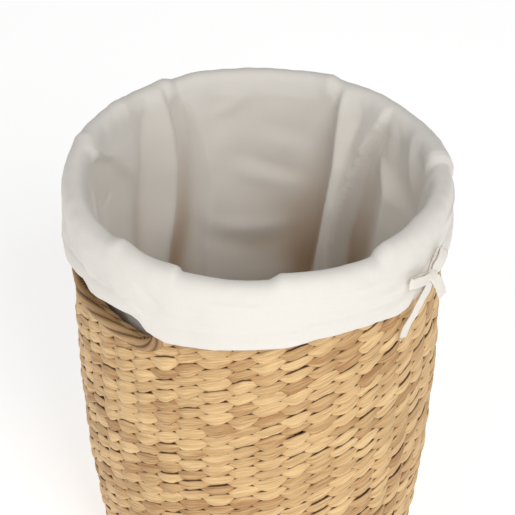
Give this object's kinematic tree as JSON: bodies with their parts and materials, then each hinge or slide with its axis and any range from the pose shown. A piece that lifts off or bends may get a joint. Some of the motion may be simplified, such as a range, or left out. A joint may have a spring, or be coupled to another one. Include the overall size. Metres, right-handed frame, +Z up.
{
  "type": "laundry basket",
  "caption": "Round woven laundry basket on a steel wire frame, with two handle slots and a lift-out cotton liner turned down over the rim and tied with a bow.",
  "frame": {"origin": "centre of the footprint, on the surface that the basket stands on", "axes": "+Z up; the two handle slots face +X and -X; -Y is the front, with the bow 20 degrees round towards +X"},
  "size_m": [0.4064, 0.412, 0.514],
  "materials": {
    "wall_weave": "dry twined water hyacinth, light tan",
    "border_weave": "wrapped and braided water hyacinth, darker tan",
    "steel_wire": "drawn wire, dull",
    "liner_cotton": "plain woven off-white cotton, matt",
    "tape_cotton": "woven cotton tape, matt"
  },
  "bodies": {
    "basket": {"foot_border": "border_weave", "base_ring": "steel_wire", "base_wire_across": "steel_wire", "base_wire_front": "steel_wire", "base_wire_back": "steel_wire", "base_weave": "wall_weave", "wall_lower": "wall_weave", "wall_upper": "wall_weave", "upright_01": "steel_wire", "upright_02": "steel_wire", "upright_03": "steel_wire", "upright_04": "steel_wire", "upright_05": "steel_wire", "upright_06": "steel_wire", "upright_07": "steel_wire", "upright_08": "steel_wire", "upright_09": "steel_wire", "upright_10": "steel_wire", "upright_11": "steel_wire", "upright_12": "steel_wire", "handle_trim_right": "border_weave", "handle_trim_left": "border_weave", "handle_wire_right": "steel_wire", "handle_wire_left": "steel_wire", "rim_ring": "steel_wire", "rim_border": "border_weave"},
    "liner": {"liner_base": "liner_cotton", "liner_bag": "liner_cotton", "liner_cuff": "liner_cotton", "hem_casing": "liner_cotton", "drawstring_band": "tape_cotton", "tape_lead_left": "tape_cotton", "tape_lead_right": "tape_cotton", "tape_knot": "tape_cotton", "tape_loop_left": "tape_cotton", "tape_loop_right": "tape_cotton", "tape_tail_long": "tape_cotton", "tape_tail_short": "tape_cotton"}
  },
  "joints": [
    {"name": "liner_lift", "type": "slide", "parent": "basket", "child": "liner", "axis": [0, 0, 1], "range_m": [0, 0.52]}
  ]
}
